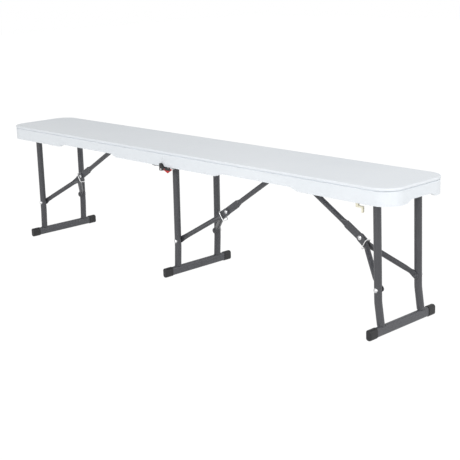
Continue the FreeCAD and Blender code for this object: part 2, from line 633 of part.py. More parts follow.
def upright(brace, side, name):
    """One leg tube: leans out, kicks near the foot, rounded about the pivot at its top."""
    body = new_body("upright")
    middle = mirrored(side, brace.spacing)
    for kind, radius in (("AdditivePipe", "Sizes.leg_radius"),
                         ("SubtractivePipe", "Sizes.leg_radius - Sizes.leg_wall")):
        section = sketch(body, "XY_Plane", "Sizes.leg_radius")
        lean = "%s / %s * Sizes.leg_radius" % (brace.size("splay"), LEG_LENGTH)
        circle(section, (lean, middle), radius)
        spine = sketch(body, "XZ_Plane", across(side, brace.spacing))
        bent_line(spine, upright_spine(brace), num("Sizes.kick_bend"))
        doc.recompute()
        pipe = body.newObject("PartDesign::" + kind, "pipe")
        pipe.Profile = section
        pipe.Spine = (spine, [])
        doc.recompute()
    top = sketch(body, "XZ_Plane")
    radius = num("Sizes.leg_radius")
    out = radius + num("Sizes.bar_radius")
    top.addGeometry(Part.Arc(Vector(-radius, 0, 0), Vector(0, radius, 0), Vector(radius, 0, 0)), False)
    edge = [Vector(radius, 0, 0), Vector(out, 0, 0), Vector(out, out, 0), Vector(-out, out, 0),
            Vector(-out, 0, 0), Vector(-radius, 0, 0)]
    for start, end in zip(edge, edge[1:]):
        top.addGeometry(Part.LineSegment(start, end), False)
    feature(body, "Pocket", top, both=True)
    holes = sketch(body, "XZ_Plane")
    circle(holes, ("0", "0"), "Sizes.bar_radius")
    eye_depth = "(%s - %s)" % (PIVOT_Z, brace.size("rivet"))
    circle(holes, ("-%s * %s / %s" % (brace.size("splay"), eye_depth, LEG_LENGTH), "-" + eye_depth),
           "Sizes.rivet_radius")
    feature(body, "Pocket", holes, both=True)
    foot = sketch(body, "XZ_Plane")
    foot_x = "-(%s + %s)" % (brace.size("splay"), brace.size("kick"))
    box_outline(foot, "%s - Sizes.foot_tall" % foot_x, "-%s - Sizes.foot_tall" % LEG_LENGTH,
                "%s + Sizes.foot_tall" % foot_x, "-%s + Sizes.foot_tall / 2" % LEG_LENGTH)
    feature(body, "Pocket", foot, both=True)
    brace.stand(body)
    keep(body, leg_name(brace, name))


def rounded_box(thing, half_x, half_z, rounding):
    """A rounded rectangle about the sketch's origin."""
    cut = rounding * (1 - math.sqrt(0.5))
    spots = []
    for sx, sz in ((1, 1), (-1, 1), (-1, -1), (1, -1)):
        side = Vector(sx * half_x, sz * (half_z - rounding), 0)
        level = Vector(sx * (half_x - rounding), sz * half_z, 0)
        crown = Vector(sx * (half_x - cut), sz * (half_z - cut), 0)
        spots.append((side, crown, level) if sx * sz > 0 else (level, crown, side))
    for i, (start, crown, end) in enumerate(spots):
        thing.addGeometry(Part.Arc(start, crown, end), False)
        thing.addGeometry(Part.LineSegment(end, spots[(i + 1) % 4][0]), False)


def foot_section(body, grow, centre="0"):
    """The foot tube's rounded section, grown or shrunk all round."""
    section = sketch(body, "XZ_Plane", centre)
    rounded_box(section, num("Sizes.foot_thick / 2 + (%s)" % grow),
                num("Sizes.foot_tall / 2 + (%s)" % grow), num("Sizes.foot_round + (%s)" % grow))
    return section


def at_foot(brace, body):
    brace.stand(body, "-(%s + %s)" % (brace.size("splay"), brace.size("kick")), "-" + LEG_LENGTH)


def foot_bar(brace):
    """The floor tube that joins both uprights, wider than the seat."""
    body = new_body("foot_bar")
    feature(body, "Pad", foot_section(body, "0"), "%s * 2" % FOOT_HALF, both=True)
    feature(body, "Pocket", foot_section(body, "-Sizes.foot_wall"), both=True)
    at_foot(brace, body)
    keep(body, leg_name(brace, "foot_bar"))


def foot_cap(brace, side, name):
    """A moulded cap over one end of the floor tube, which stands on it."""
    body = new_body("foot_cap")
    reach = "(%s + Sizes.cap_end)" % FOOT_HALF
    outer = foot_section(body, "Sizes.cap_wall", across(side, "%s - Sizes.cap_length / 2" % reach))
    feature(body, "Pad", outer, "Sizes.cap_length", both=True)
    tip = num(reach) * side
    fillet(body, lambda e: abs(e.BoundBox.YMin - tip) < NEAR and abs(e.BoundBox.YMax - tip) < NEAR,
           "Sizes.cap_round")
    socket = foot_section(body, "0", across(side, "%s - Sizes.cap_length" % reach))
    feature(body, "Pocket", socket, "Sizes.cap_length - Sizes.cap_end", back=side < 0)
    at_foot(brace, body)
    keep(body, leg_name(brace, name))


def arm_rivets(brace):
    """Both rivets through the uprights: domed outside on a saddle washer, flush inside."""
    spacing, radius = num(brace.spacing), num("Sizes.leg_radius")
    shank, head, rise = (num("Sizes.rivet_" + item) for item in ("radius", "head", "rise"))
    washer = rise / 2
    solids = []
    for side in (-1, 1):
        out = Vector(0, side, 0)
        at = Vector(brace.eye[0], 0, brace.eye[1])
        face = at + out * (spacing + radius + washer)
        pin = Part.makeCylinder(shank, 2 * radius + washer, at + out * (spacing - radius), out)
        dome = Part.makeCone(head, head * num("Sizes.rivet_flat"), rise, face, out)
        saddle = Part.makeCylinder(head, radius + washer, at + out * spacing, out)
        lean = Vector(brace.splay, 0, num(LEG_LENGTH)).normalize()
        tube = Part.makeCylinder(radius, 4 * radius, at + out * spacing - lean * 2 * radius, lean)
        bush = Part.makeCylinder(shank, 2 * radius, at + out * (spacing - radius), out)
        solids.append(saddle.cut(tube).fuse([pin, dome, bush]).removeSplitter().Solids[0])
    group = doc.addObject("Part::Feature", "arm_rivets")
    group.Shape = Part.makeCompound(solids)
    brace.stand(group)
    keep(group, leg_name(brace, "arm_rivets"))


def leg_bracket(brace, side, name):
    """A sheet bracket with a rounded ear for the cross bar and a screwed flange."""
    body = new_body("leg_bracket")
    middle = across(side, "%s + Sizes.ear_thick / 2" % brace.ear)
    roof = "(%s - %s)" % (PANEL_UNDER, PIVOT_Z)
    ear = sketch(body, "XZ_Plane", middle)
    box_outline(ear, "-Sizes.flange_back", "0", "Sizes.ear_radius", roof)
    feature(body, "Pad", ear, "Sizes.ear_thick", both=True)
    lobe = sketch(body, "XZ_Plane", middle)
    circle(lobe, ("0", "0"), "Sizes.ear_radius")
    feature(body, "Pad", lobe, "Sizes.ear_thick", both=True)
    flange = sketch(body, "XY_Plane", "%s - Sizes.ear_thick" % roof)
    outer = mirrored(side, "%s + Sizes.ear_thick + Sizes.flange_width" % brace.ear)
    box_outline(flange, "-Sizes.flange_back", mirrored(side, brace.ear), "Sizes.flange_front", outer)
    feature(body, "Pad", flange, "Sizes.ear_thick")
    bore = sketch(body, "XZ_Plane")
    circle(bore, ("0", "0"), "Sizes.bar_radius + Sizes.pin_clearance")
    feature(body, "Pocket", bore, both=True)
    holes = sketch(body, "XY_Plane", "%s - Sizes.ear_thick" % roof)
    row = mirrored(side, "%s + Sizes.ear_thick + Sizes.flange_width / 2" % brace.ear)
    for spot in ("Sizes.flange_screw_near", "Sizes.flange_screw_far"):
        circle(holes, (spot, row), "Sizes.screw_radius")
    feature(body, "Pocket", holes, "Sizes.ear_thick", back=True)
    brace.stand(body)
    keep(body, leg_name(brace, name))


def half_oval(thing, tall, thick):
    """An ellipse as two arcs that meet at its top and bottom."""
    centre = Vector()
    if abs(tall - thick) < 1e-6:
        round_one = Part.Circle(centre, Vector(0, 0, 1), tall)
        arcs = [Part.ArcOfCircle(round_one, math.pi / 2, math.pi * 1.5),
                Part.ArcOfCircle(round_one, math.pi * 1.5, math.pi * 2.5)]
    else:
        oval = Part.Ellipse(Vector(0, tall, 0), Vector(thick, 0, 0), centre)
        arcs = [Part.ArcOfEllipse(oval, 0, math.pi), Part.ArcOfEllipse(oval, math.pi, 2 * math.pi)]
    for arc in arcs:
        thing.addGeometry(arc, False)


def taper(body, flat_end, round_end, half, thick):
    """The tube pressed from round to flat; each end is its X, its Y and the tube's turn."""
    sections = []
    for (x, y, turn), tall, wide in (
            (flat_end, num("%s - Sizes.taper_skin" % half), thick / 2 - num("Sizes.taper_skin") / 3),
            (round_end, num("Sizes.brace_radius"), num("Sizes.brace_radius"))):
        thing = sketch(body, "YZ_Plane")
        thing.AttachmentOffset = Placement(Vector(y, 0, x), Rotation(Vector(0, 1, 0), turn))
        half_oval(thing, tall, wide)
        sections.append(thing)
    doc.recompute()
    loft = body.newObject("PartDesign::AdditiveLoft", "taper")
    loft.Profile = sections[0]
    loft.Sections = [(sections[1], [""])]
    loft.Ruled = True
    doc.recompute()


def flat_end(body, middle, low, high, eye, half, thick):
    """A flattened end: a plate from low to high, rounded about its hole."""
    plate = sketch(body, "XZ_Plane", middle)
    box_outline(plate, low, "-" + half, high, half)
    feature(body, "Pad", plate, thick, both=True)
    if eye is None:
        return
    lobe = sketch(body, "XZ_Plane", middle)
    circle(lobe, (eye, "0"), half)
    feature(body, "Pad", lobe, thick, both=True)


def brace_link(brace):
    """The upper brace tube, flattened at the anchor and at the knee, drawn along X."""
    body = new_body("brace_link")
    length = "%.6f" % brace.link
    half, thick = "Sizes.flat_half", "Sizes.flat_thick"
    near = "(Sizes.link_flat + Sizes.taper_length)"
    far = "(%s - Sizes.link_blade - Sizes.knee_press)" % length
    tube = sketch(body, "YZ_Plane", near)
    circle(tube, ("0", "0"), "Sizes.brace_radius")
    feature(body, "Pad", tube, "%s - %s" % (far, near))
    lap = "Sizes.taper_start"
    for flat, full in (("Sizes.link_flat - %s" % lap, near),
                       ("%s - Sizes.link_blade + %s" % (length, lap), far)):
        taper(body, (num(flat), 0, 0), (num(full), 0, 0), half, num(thick))
    flat_end(body, "0", "0", "Sizes.link_flat", "0", half, thick)
    flat_end(body, "0", "%s - Sizes.link_blade" % length, "%s + Sizes.knee_tail" % length, None,
             half, thick)
    tail = num("%s + Sizes.knee_tail" % length)
    fillet(body, lambda e: runs_along(e, Y_AXIS) and abs(middle_of(e).x - tail) < NEAR,
           "Sizes.tail_round")
    holes = sketch(body, "XZ_Plane")
    circle(holes, ("0", "0"), "Sizes.brace_pin_radius + Sizes.pin_clearance")
    circle(holes, (length, "0"), "Sizes.rivet_radius + Sizes.pin_clearance")
    feature(body, "Pocket", holes, both=True)
    brace.swing(body, brace.anchor, brace.link_angle)
    keep(body, "%s_brace_link" % brace.leg)


def brace_arm(brace, side, name):
    """One lower brace tube, from the knee out to its upright, flattened at both ends."""
    body = new_body("brace_arm")
    length = "%.6f" % brace.arm
    knee_y = "(Sizes.flat_thick / 2 + Sizes.knee_layer + Sizes.arm_thick / 2)"
    eye_y = "(%s - Sizes.leg_radius - Sizes.arm_layer - Sizes.arm_thick / 2)" % brace.spacing
    y0, y1 = num(knee_y) * side, num(eye_y) * side
    x0, x1 = num("Sizes.knee_flat"), num("%s - Sizes.arm_flat" % length)
    spread = math.atan2(y1 - y0, x1 - x0)
    run = num("Sizes.taper_length")
    step_x, step_y = run * math.cos(spread), run * math.sin(spread)
    start, end = (x0 + step_x, y0 + step_y), (x1 - step_x, y1 - step_y)
    tube = sketch(body, "YZ_Plane")
    tube.AttachmentOffset = Placement(Vector(start[1], 0, start[0]),
                                      Rotation(Vector(0, 1, 0), math.degrees(spread)))
    circle(tube, ("0", "0"), "Sizes.brace_radius")
    straight = math.hypot(end[0] - start[0], end[1] - start[1])
    feature(body, "Pad", tube, "%.6f" % straight)
    turn = math.degrees(spread)
    half, thick = "Sizes.arm_end_half", "Sizes.arm_thick"
    lap = num("Sizes.taper_start")
    taper(body, (x0 - lap, y0, 0), (start[0], start[1], turn), "Sizes.flat_half", num(thick))
    taper(body, (x1 + lap, y1, 0), (end[0], end[1], turn), half, num(thick))
    flat_end(body, across(side, knee_y), "0", "Sizes.knee_flat", "0", "Sizes.flat_half", thick)
    flat_end(body, across(side, eye_y), "%s - Sizes.arm_flat" % length, length, length, half, thick)
    hole = sketch(body, "XZ_Plane")
    circle(hole, ("0", "0"), "Sizes.rivet_radius")
    feature(body, "Pocket", hole, both=True)
    stub = sketch(body, "XZ_Plane", across(side, "%s - Sizes.arm_thick / 2" % eye_y))
    circle(stub, (length, "0"), "Sizes.rivet_head")
    button = feature(body, "Pad", stub, "Sizes.rivet_rise", back=side < 0)
    button.TaperAngle = -num("Sizes.button_slope")
    doc.recompute()
    brace.swing(body, brace.knee, brace.arm_angle)
    keep(body, "%s_brace_%s" % (brace.leg, name))


def knee_rivet(brace):
    """The rivet that joins the link to both arms."""
    grip = "Sizes.flat_thick / 2 + Sizes.knee_layer + Sizes.arm_thick"
    body = headed_pin("%s_knee_rivet" % brace.leg, "Sizes.rivet_radius", grip,
                      "Sizes.rivet_head", "Sizes.rivet_rise")
    brace.swing(body, brace.knee, 0)


def anchor_pin(brace):
    """The pin that carries the link in its anchor plate."""
    grip = "Sizes.flat_thick / 2 + Sizes.anchor_layer + Sizes.ear_thick"
    body = headed_pin("%s_anchor_pin" % brace.leg, "Sizes.brace_pin_radius", grip,
                      "Sizes.brace_pin_head", "Sizes.brace_pin_rim")
    brace.swing(body, brace.anchor, 0)


def lock_ring(brace):
    """The wire ring that slides over the knee and holds link and arms in line."""
    body = new_body("lock_ring")
    half = num("Sizes.ring_inner_half + Sizes.ring_wire")
    high = num("Sizes.flat_half + Sizes.ring_seat_gap + Sizes.ring_wire")
    low = high - num("Sizes.ring_inner_tall + 2 * Sizes.ring_wire")
    bend = num("Sizes.ring_round")
    cut = bend * (1 - math.sqrt(0.5))
    path = sketch(body, "YZ_Plane")
    corners = [(half, high), (half, low), (-half, low), (-half, high)]
    spots = [Vector(0, high, 0)]
    for x, z in corners:
        sx, sz = math.copysign(1, x), math.copysign(1, z)
        top = Vector(x - sx * bend, z, 0)
        side = Vector(x, z - sz * bend, 0)
        crown = Vector(x - sx * cut, z - sz * cut, 0)
        first, last = (top, side) if x * z > 0 else (side, top)
        path.addGeometry(Part.LineSegment(spots[-1], first), False)
        path.addGeometry(Part.Arc(first, crown, last), False)
        spots.append(last)
    path.addGeometry(Part.LineSegment(spots[-1], spots[0]), False)
    wire = sketch(body, "XZ_Plane")
    circle(wire, ("0", "Sizes.flat_half + Sizes.ring_seat_gap + Sizes.ring_wire"), "Sizes.ring_wire")
    doc.recompute()
    pipe = body.newObject("PartDesign::AdditivePipe", "pipe")
    pipe.Profile = wire
    pipe.Spine = (path, [])
    doc.recompute()
    spot = brace.link + num(brace.size("ring"))
    at = (brace.anchor[0] + spot * math.cos(brace.link_angle),
          brace.anchor[1] + spot * math.sin(brace.link_angle))
    brace.swing(body, at, brace.link_angle + math.pi)
    keep(body, "%s_lock_ring" % brace.leg)


def brace_anchor(name, braces):
    """A folded plate in the channel, with ears for the anchor pins of its links."""
    body = new_body(name)
    spots = sorted(brace.world(brace.anchor)[0] for brace in braces)
    texts = ["%.6f" % spot for spot in spots]
    low = "%s - Sizes.anchor_reach" % texts[0]
    high = "%s + Sizes.anchor_reach" % texts[-1]
    base = sketch(body, "XY_Plane", "%s - Sizes.ear_thick" % CHANNEL_ROOF)
    box_outline(base, low, "-Sizes.anchor_half", high, "Sizes.anchor_half")
    feature(body, "Pad", base, "Sizes.ear_thick")
    inner = "(Sizes.flat_thick / 2 + Sizes.anchor_layer)"
    for side in (-1, 1):
        middle = across(side, "%s + Sizes.ear_thick / 2" % inner)
        ear = sketch(body, "XZ_Plane", middle)
        round_one = "Sizes.anchor_ear"
        box_outline(ear, "%s - %s" % (texts[0], round_one), ANCHOR_Z, "%s + %s" % (texts[-1], round_one),
                    "%s - Sizes.ear_thick / 2" % CHANNEL_ROOF)
        feature(body, "Pad", ear, "Sizes.ear_thick", both=True)
        for text in texts:
            lobe = sketch(body, "XZ_Plane", middle)
            circle(lobe, (text, ANCHOR_Z), round_one)
            feature(body, "Pad", lobe, "Sizes.ear_thick", both=True)
    holes = sketch(body, "XZ_Plane")
    for text in texts:
        circle(holes, (text, ANCHOR_Z), "Sizes.brace_pin_radius")
    feature(body, "Pocket", holes, both=True)
    drill = sketch(body, "XY_Plane", "%s - Sizes.ear_thick" % CHANNEL_ROOF)
    centre = sum(spots) / len(spots)
    for side in (-1, 1):
        circle(drill, ("%.6f" % centre, mirrored(side, "Sizes.anchor_screw")), "Sizes.screw_radius")
    feature(body, "Pocket", drill, "Sizes.ear_thick", back=True)
    keep(body, name)
    return [Vector(centre, side * num("Sizes.anchor_screw"), num(CHANNEL_ROOF)) for side in (-1, 1)]


def leg_clip():
    """The moulded clip beside the folded right leg: a bar with a toe, on a short stem."""
    body = new_body("leg_clip")
    outline = sketch(body, "XZ_Plane", "Sizes.clip_y")
    near = "(%s - Sizes.clip_before)" % RIGHT_PIVOT
    far = "(%s + Sizes.clip_length)" % near
    stem = "%s + Sizes.clip_stem" % near
    bar_low = "(%s - Sizes.clip_bar)" % SEAT_EDGE
    bar_high = "%s + Sizes.clip_wall" % bar_low
    toe = "%s - Sizes.clip_reach" % SEAT_EDGE
    polygon(outline, [(near, bar_low), (near, PANEL_UNDER), (stem, PANEL_UNDER), (stem, bar_high),
                      (far, bar_high), (far, toe), ("%s - Sizes.clip_wall" % far, toe),
                      ("%s - Sizes.clip_wall" % far, bar_low)])
    feature(body, "Pad", outline, "Sizes.clip_thick", both=True)
    top = num(PANEL_UNDER)
    fillet(body, lambda e: runs_along(e, Y_AXIS) and middle_of(e).z < top - 0.1, "Sizes.clip_round")
    keep(body, "leg_clip")


def seat_lock():
    """The lock at the front of the seam: a knob with a bar on the hinge pin, and a red lever."""
    face = "(%s + Sizes.lock_gap)" % HALF_WIDTH
    middle = "%s + Sizes.lock_front / 2" % face
    top = "%s + Sizes.lock_rise" % HINGE_Z
    low = "%s - Sizes.lock_low" % HINGE_Z
    under = "%s - Sizes.lock_under" % HINGE_Z
    pivot = ("Sizes.lever_x", "(%s + Sizes.lever_rise)" % HINGE_Z)
    body = new_body("lock_housing")
    block = sketch(body, "XZ_Plane", middle)
    polygon(block, [("-Sizes.lock_left", top), ("Sizes.lock_crown", top),
                    ("Sizes.lock_waist", "%s + Sizes.lock_bar" % HINGE_Z),
                    ("Sizes.lock_reach", "%s + Sizes.lock_tip" % HINGE_Z), ("Sizes.lock_reach", under),
                    ("Sizes.lock_waist", under), ("Sizes.lock_chin", low), ("-Sizes.lock_left", low)])
    feature(body, "Pad", block, "Sizes.lock_front", both=True)
    fillet(body, lambda e: runs_along(e, Y_AXIS), "Sizes.lock_round")
    slot = sketch(body, "XZ_Plane", middle)
    box_outline(slot, "%s - Sizes.lever_back" % pivot[0], low, "Sizes.lock_reach + Sizes.lock_round", top)
    feature(body, "Pocket", slot, "Sizes.lever_thick + 2 * Sizes.knee_layer", both=True)
    holes = sketch(body, "XZ_Plane")
    circle(holes, ("0", HINGE_Z), "Sizes.hinge_pin_radius")
    circle(holes, pivot, "Sizes.lever_pin + Sizes.pin_clearance")
    feature(body, "Pocket", holes, both=True)
    keep(body, "lock_housing")

    lever = new_body("lock_lever")
    blade = sketch(lever, "XZ_Plane", middle)
    reach = "(%s + Sizes.lever_reach)" % pivot[0]
    tail, top_edge = "%s - Sizes.lever_tail" % pivot[0], "%s + Sizes.lever_top" % pivot[1]
    polygon(blade, [(tail, top_edge), (reach, top_edge),
                    ("%s + Sizes.lever_point" % pivot[0], "%s - Sizes.lever_drop" % pivot[1]),
                    (tail, "%s - Sizes.lever_heel" % pivot[1])])
    feature(lever, "Pad", blade, "Sizes.lever_thick", both=True)
    fillet(lever, lambda e: runs_along(e, Y_AXIS), "Sizes.lever_round")
    pin = sketch(lever, "XZ_Plane", middle)
    circle(pin, pivot, "Sizes.lever_pin")
    feature(lever, "Pad", pin, "Sizes.lock_front", both=True)
    keep(lever, "lock_lever")


def screws(name, places):
    """One group of identical pan-head screws, each by the point where its head seats."""
    shank, head, rise, flat = (num("Sizes.screw_" + item) for item in ("radius", "head", "rise", "flat"))
    sheet_thick = num("Sizes.ear_thick")
    solids = []
    for spot in places:
        under = spot - Vector(0, 0, sheet_thick)
        body = Part.makeCylinder(shank, sheet_thick, under, Z_AXIS)
        cap = Part.makeCone(head, flat, rise, under, -Z_AXIS)
        solids.append(body.fuse(cap).removeSplitter().Solids[0])
    group = doc.addObject("Part::Feature", name)
    group.Shape = Part.makeCompound(solids)
    keep(group, name)


def leg_screws(brace):
    """Where the flanges of both leg brackets are screwed to the panel."""
    sign = -1 if brace.turn else 1
    row = num("%s + Sizes.ear_thick + Sizes.flange_width / 2" % brace.ear)
    return [Vector(num(brace.pivot) + sign * num(spot), side * row, num(PANEL_UNDER))
            for spot in ("Sizes.flange_screw_near", "Sizes.flange_screw_far") for side in (-1, 1)]


def leaf_screws(sign):
    """Where the hinge leaves of one half are screwed up into the aprons."""
    row = num(LEAF_ROW)
    return [Vector(sign * num(spot), side * row, num(SEAT_EDGE))
            for spot in ("Sizes.leaf_screw_near", "Sizes.leaf_screw_far") for side in (-1, 1)]


def leg_set(brace):
    """All pieces of one folding leg."""
    cross_bar(brace)
    for side, end in ((-1, "front"), (1, "back")):
        near = -side if brace.turn else side
        upright(brace, near, "upright_" + end)
        foot_cap(brace, near, "foot_cap_" + end)
        leg_bracket(brace, near, "bracket_" + end)
        brace_arm(brace, near, "arm_" + end)
    foot_bar(brace)
    arm_rivets(brace)
    brace_link(brace)
    knee_rivet(brace)
    anchor_pin(brace)
    lock_ring(brace)


def check_and_write():
    """Stop on any failed object, then write each sub-part to its own file."""
    doc.recompute()
    failed = []
    for thing in doc.Objects:
        if "Invalid" in thing.State or "Error" in thing.State:
            owner = thing.getParentGeoFeatureGroup()
            failed.append("%s in %s" % (thing.Name, owner.Label if owner else "the document"))
    failed += [node.Label for node in NODES if node.Shape.isNull() or not node.Shape.isValid()]
    if failed:
        raise RuntimeError("failed: " + ", ".join(failed))
    os.makedirs("parts", exist_ok=True)
    for node in NODES:
        node.Shape.exportStep(os.path.join("parts", node.Label + ".step"))


left = Brace("left", LEFT_PIVOT, "-Sizes.left_anchor", 0)
middle = Brace("middle", MIDDLE_PIVOT, "Sizes.middle_anchor", 0)
right = Brace("right", RIGHT_PIVOT, "Sizes.middle_anchor + Sizes.anchor_spacing", 180)

seat_half("seat_right", 0)
seat_half("seat_left", 180)
for end, side in (("front", -1), ("back", 1)):
    hinge_leaf("hinge_leaf_right_" + end, side, (0, 2), "0", 0)
    hinge_leaf("hinge_leaf_left_" + end, -side, (1,), "Sizes.pin_clearance", 180)
LOCK_REACH = "(%s + Sizes.lock_gap + Sizes.lock_front)" % HALF_WIDTH
round_bar("hinge_pin_front", "Sizes.hinge_pin_radius", "-" + LOCK_REACH, "-" + LEAF_INNER, "0", HINGE_Z)
round_bar("hinge_pin_back", "Sizes.hinge_pin_radius", LEAF_INNER, LEAF_OUTER, "0", HINGE_Z)
seat_lock()
leg_clip()
for brace in (left, middle, right):
    leg_set(brace)
anchor_left = brace_anchor("brace_anchor_left", [left])
anchor_right = brace_anchor("brace_anchor_right", [middle, right])
screws("screws_right_half", leg_screws(middle) + leg_screws(right) + leaf_screws(1) + anchor_right)
screws("screws_left_half", leg_screws(left) + leaf_screws(-1) + anchor_left)

check_and_write()

for brace in (left, middle, right):
    print("brace", brace.leg, "anchor", brace.world(brace.anchor), "knee", brace.world(brace.knee),
          "eye", brace.world(brace.eye), "turns",
          [round(math.degrees(a), 3) for a in (brace.leg_turn, brace.link_turn, brace.arm_turn)],
          "link", round(math.degrees(brace.link_angle), 3),
          "lengths", round(brace.link, 2), round(brace.arm, 2))
print("hinge axis", num(HINGE_Z), "leg pivot", num(PIVOT_Z), "nodes", len(NODES))
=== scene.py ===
"""Folding bench: its plastics, paint, metal, welds and screws, and the studio it stands in."""

import json
import math
from functools import partial

import bmesh
import bpy
from bpy.props import FloatProperty, FloatVectorProperty, PointerProperty
from mathutils import Matrix, Vector


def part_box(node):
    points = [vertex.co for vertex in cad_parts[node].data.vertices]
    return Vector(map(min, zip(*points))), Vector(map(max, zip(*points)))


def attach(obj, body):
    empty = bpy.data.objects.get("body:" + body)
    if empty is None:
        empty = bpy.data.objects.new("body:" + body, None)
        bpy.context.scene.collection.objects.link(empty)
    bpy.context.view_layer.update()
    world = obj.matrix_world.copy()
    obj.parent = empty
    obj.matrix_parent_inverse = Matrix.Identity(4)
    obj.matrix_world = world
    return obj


bl_info = {
    "name": "Folding Bench",
    "version": (1, 0, 0),
    "blender": (4, 5, 0),
    "location": "3D View > Sidebar > Bench",
    "description": "Dresses the folding bench and sets up its studio",
    "category": "Object",
}

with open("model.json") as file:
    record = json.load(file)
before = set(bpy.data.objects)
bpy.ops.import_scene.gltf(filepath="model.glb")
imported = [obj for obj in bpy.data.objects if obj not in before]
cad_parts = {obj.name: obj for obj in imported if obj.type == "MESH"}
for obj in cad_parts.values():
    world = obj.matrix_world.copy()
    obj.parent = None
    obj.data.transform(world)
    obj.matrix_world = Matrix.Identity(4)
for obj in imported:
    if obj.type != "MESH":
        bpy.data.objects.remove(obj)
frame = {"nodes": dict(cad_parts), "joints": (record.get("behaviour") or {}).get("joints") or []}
NODES = frame["nodes"]
JOINTS = {joint["name"]: joint for joint in frame["joints"]}
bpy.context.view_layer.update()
LEGS = ("left", "middle", "right")

# Each leg's painted tubes, bent sheet and plated steel, without the leg's own name.
TUBES = ("leg_cross_bar", "leg_upright_front", "leg_upright_back", "leg_foot_bar",
         "brace_link", "brace_arm_front", "brace_arm_back")
SHEETS = ("leg_bracket_front", "leg_bracket_back")
PLATED = ("knee_rivet", "anchor_pin", "leg_arm_rivets")

# The seat: pebbles' share of its grain, its long waves against them, and how little it mirrors.
PEBBLE_SHARE = 0.6
WAVE_GAIN = 2.0
SEAT_SPECULAR = 0.35

# Brightness of the powder coat's dark and light clouds and of its rubbed edges.
COAT_DARK, COAT_LIGHT, COAT_RUBBED = 0.9, 1.08, 2.2
RUB_SHARE = 0.5
FINE_PEEL_SHARE = 0.5

# Brightness of the dull and bright patches of plated steel, and its drawing lines in metres.
PLATE_DULL, PLATE_BRIGHT = 0.82, 1.08
DRAWING_DEPTH = 0.00003

# Brightness of the dark and light patches of the small mouldings.
MOULD_DARK, MOULD_LIGHT = 0.88, 1.12

# Weld beads: sides, radius between and at the swells, radius of an end, and points of a path.
BEAD_SIDES = 8
BEAD_BASE, BEAD_SWELL, BEAD_END = 0.78, 0.22, 0.45
FOOT_PITCH = 1.6
BAR_BEAD, BAR_PITCH = 0.7, 1.4
ARC_STEPS, ARC_INSET = 8, 0.0006
RING_POINTS = 28

# The floor lies just under the feet, and the camera sees it as white.
FLOOR_DROP = 0.0002
FLOOR_GREY = 0.86
FLOOR_GLOW, FLOOR_GLOW_SHARE = 1.05, 0.97

# Soft lamps: name, the setting that holds the power, size, place and target in metres.
LAMPS = (
    ("soft key", "key", (3.6, 2.4), (2.0, -5.3, 1.9), (0.0, 0.0, 0.35)),
    ("soft side", "side", (3.0, 2.4), (5.2, 1.6, 1.7), (0.6, 0.0, 0.35)),
    ("soft top", "top", (1.6, 1.2), (1.5, -0.5, 2.1), (0.8, 0.0, 0.42)),
)

# The camera at the photograph's viewing angle, in metres and radians; its sensor in millimetres.
CAMERA_PLACE = (2.455, -2.120, 0.9913)
CAMERA_YAW, CAMERA_PITCH, CAMERA_ROLL = 0.8197, 0.2596, -0.03186
CAMERA_SHIFT = (-0.00717, -0.0013)
SENSOR_WIDTH = 36.0
VIEW_DEPTH = 100.0


class Value:
    """One socket of a material. Sums and products of these add Math nodes."""

    def __init__(self, finish, socket):
        self.finish = finish
        self.socket = socket

    def maths(self, operation, *values):
        return self.finish.node(
            "ShaderNodeMath", {"operation": operation}, dict(enumerate(values)))

    def __add__(self, other):
        return self.maths("ADD", self, other)

    __radd__ = __add__

    def __mul__(self, other):
        return self.maths("MULTIPLY", self, other)

    __rmul__ = __mul__


class Finish:
    """A procedural material while it is being put together."""

    def __init__(self, name):
        self.material = bpy.data.materials.new(name)
        self.material.use_nodes = True
        self.tree = self.material.node_tree
        self.surface = self.tree.nodes["Principled BSDF"]

    def node(self, kind, settings=None, sockets=None, output=0):
        """Add a node: its settings first, then each socket's number, colour or link."""
        made = self.tree.nodes.new(kind)
        for key, value in (settings or {}).items():
            setattr(made, key, value)
        for key, value in (sockets or {}).items():
            self.feed(made.inputs[key], value)
        return Value(self, made.outputs[output])

    def feed(self, socket, value):
        """Give a socket a link or a plain value."""
        if isinstance(value, Value):
            self.tree.links.new(value.socket, socket)
        else:
            socket.default_value = value

    def place(self):
        """The spot on the piece, in metres."""
        return self.node("ShaderNodeTexCoord", output="Object")

    def noise(self, scale, detail=2.0):
        """Cloudy noise from 0 to 1, its scale in features per metre."""
        return self.node("ShaderNodeTexNoise", None, {
            "Vector": self.place(), "Scale": scale, "Detail": detail})

    def cells(self, scale):
        """Distance to the nearest cell centre, for pebbled grain."""
        return self.node("ShaderNodeTexVoronoi", {"feature": "F1"}, {
            "Vector": self.place(), "Scale": scale})

    def between(self, value, low, high):
        """The value's share of the way from low to high, kept within 0 and 1."""
        return self.node("ShaderNodeMapRange", {"clamp": True}, {
            "Value": value, "From Min": low, "From Max": high})

    def mix(self, share, first, second):
        """A colour between two colours."""
        return self.node("ShaderNodeMix", {"data_type": "RGBA"},
                         {0: share, 6: first, 7: second}, output=2)

    def bump(self, height, distance, strength=1.0):
        """A surface normal from a height, the distance in metres."""
        return self.node("ShaderNodeBump", None, {
            "Height": height, "Distance": distance, "Strength": strength})

    def worn(self, low=0.52, high=0.62):
        """1 along outward edges, where handling rubs the coat."""
        return self.between(self.node("ShaderNodeNewGeometry", output="Pointiness"), low, high)

    def set(self, **sockets):
        """Feed the Principled shader; a socket's words are joined by underscores."""
        for key, value in sockets.items():
            self.feed(self.surface.inputs[key.replace("_", " ").title()], value)
        return self.material


def rgba(colour, gain=1.0):
    """A user's colour as the four numbers that a socket takes."""
    return tuple(min(1.0, part * gain) for part in colour[:3]) + (1.0,)


